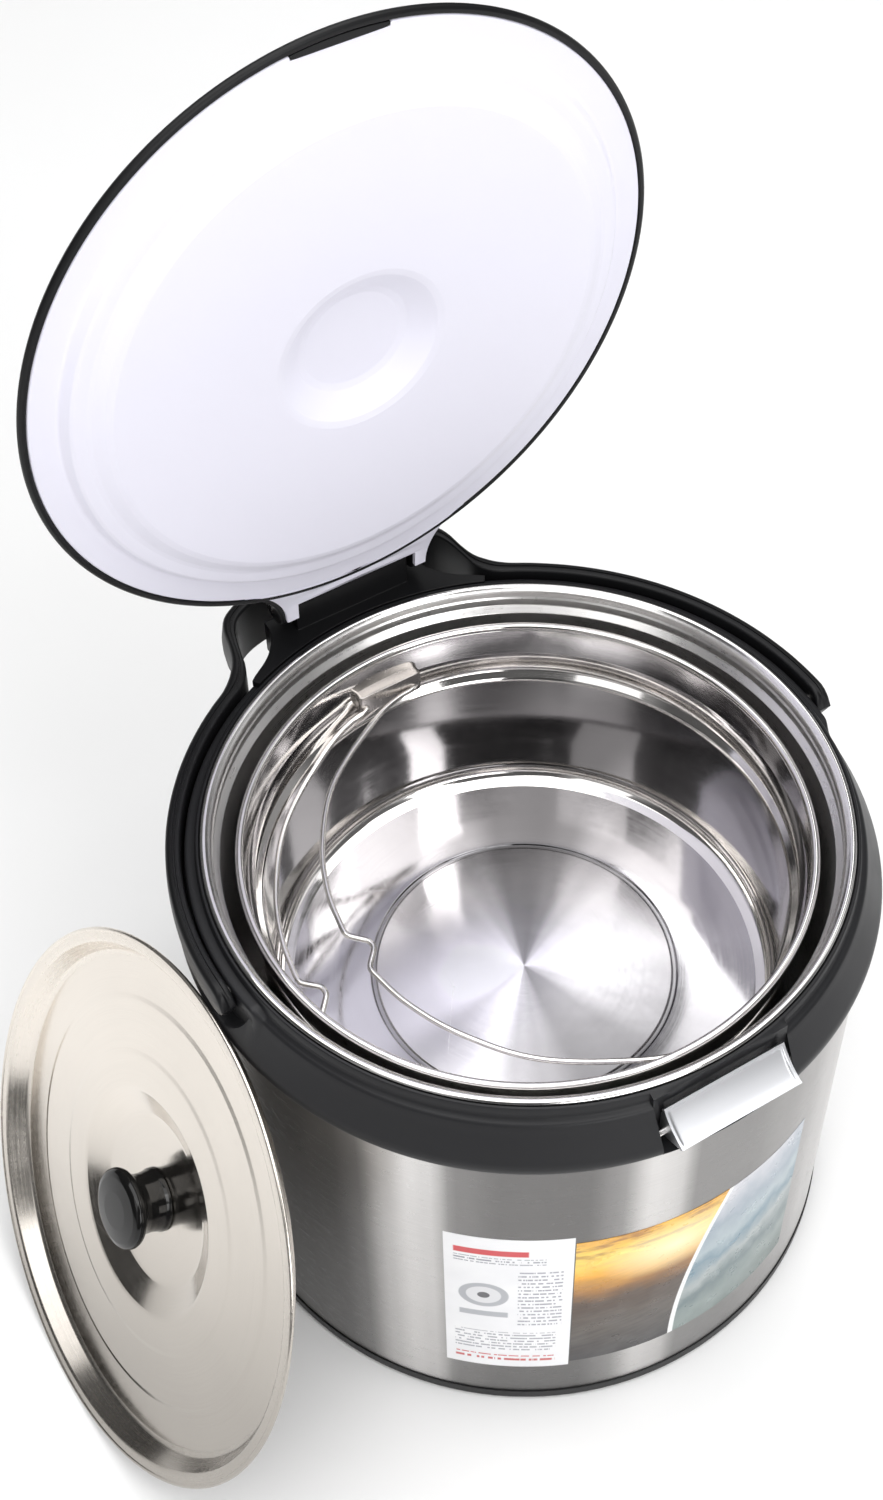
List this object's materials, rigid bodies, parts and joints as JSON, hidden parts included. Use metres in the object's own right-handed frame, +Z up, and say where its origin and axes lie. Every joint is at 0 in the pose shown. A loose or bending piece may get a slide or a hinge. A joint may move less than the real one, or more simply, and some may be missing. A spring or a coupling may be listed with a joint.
{
  "type": "thermal cooker",
  "caption": "Round insulated cooker with brushed outer tube, black collar, hinged open lid, swing carry handle, stacked inner pots with wire bails and a loose pot lid leaning on its side.",
  "frame": {"origin": "on the ground under the middle of the cooker's round body", "axes": "+Z up, +Y to the rear where the lid hinge is, -Y to the front latch, +X to the right seen from the front"},
  "size_m": [0.3847, 0.3185, 0.5257],
  "materials": {
    "brushed_steel": "satin",
    "bright_steel": "polished",
    "black_plastic": "satin",
    "silver_plastic": "satin",
    "knob_plastic": "gloss",
    "white_plastic": "satin",
    "rubber": "matte",
    "foam": "matte",
    "label_film": "satin"
  },
  "bodies": {
    "cooker_body": {"base_plate": "black_plastic", "foot_ring": "rubber", "base_screws": "bright_steel", "outer_shell": "brushed_steel", "inner_vessel": "bright_steel", "insulation_fill": "foam", "collar": "black_plastic", "handle_pivot_screws": "bright_steel", "hinge_block": "black_plastic", "hinge_pin": "bright_steel", "latch_pin": "bright_steel", "latch_spring": "bright_steel", "label_panel_white": "label_film", "label_panel_picture": "label_film"},
    "lid": {"lid_shell": "black_plastic", "lid_liner": "white_plastic", "lid_foam": "foam", "lid_catch": "black_plastic"},
    "handle": {"handle": "black_plastic"},
    "latch": {"latch_button": "silver_plastic"},
    "main_pot": {"main_pot": "bright_steel"},
    "upper_pot": {"upper_pot": "bright_steel", "pot_bail_brackets": "bright_steel"},
    "bail_right": {"bail_right": "bright_steel"},
    "bail_left": {"bail_left": "bright_steel"},
    "pot_lid": {"pot_lid": "bright_steel", "pot_lid_knob": "knob_plastic", "knob_screw": "bright_steel", "knob_washer": "bright_steel"}
  },
  "joints": [
    {"name": "lid_hinge", "type": "hinge", "parent": "cooker_body", "child": "lid", "pos_m": [0, 0.14485, 0.24825], "axis": [-1, 0, 0], "range_deg": [-87, 0]},
    {"name": "handle_pivot", "type": "hinge", "parent": "cooker_body", "child": "handle", "pos_m": [0, -0.003, 0.2266], "axis": [1, 0, 0], "range_deg": [0, 8]},
    {"name": "latch_press", "type": "hinge", "parent": "cooker_body", "child": "latch", "pos_m": [0, -0.1345, 0.2145], "axis": [1, 0, 0], "range_deg": [0, 8], "stiffness_Nm_per_rad": 0.1, "springref_deg": -5.73, "deforming": ["latch_spring"]},
    {"name": "main_pot_lift", "type": "slide", "parent": "cooker_body", "child": "main_pot", "axis": [0, -0.02, 0.9998], "range_m": [0, 0.225]},
    {"name": "upper_pot_lift", "type": "slide", "parent": "main_pot", "child": "upper_pot", "axis": [0, 0, 1], "range_m": [0, 0.11]},
    {"name": "bail_right_swing", "type": "hinge", "parent": "upper_pot", "child": "bail_right", "pos_m": [0.012, 0, 0.204], "axis": [0, 1, 0], "range_deg": [0, 190]},
    {"name": "bail_left_swing", "type": "hinge", "parent": "upper_pot", "child": "bail_left", "pos_m": [-0.012, 0, 0.204], "axis": [0, 1, 0], "range_deg": [0, 174]},
    {"name": "pot_lid_lift", "type": "slide", "parent": "cooker_body", "child": "pot_lid", "axis": [-0.6, 0, 0.8], "range_m": [0, 0.25]}
  ]
}
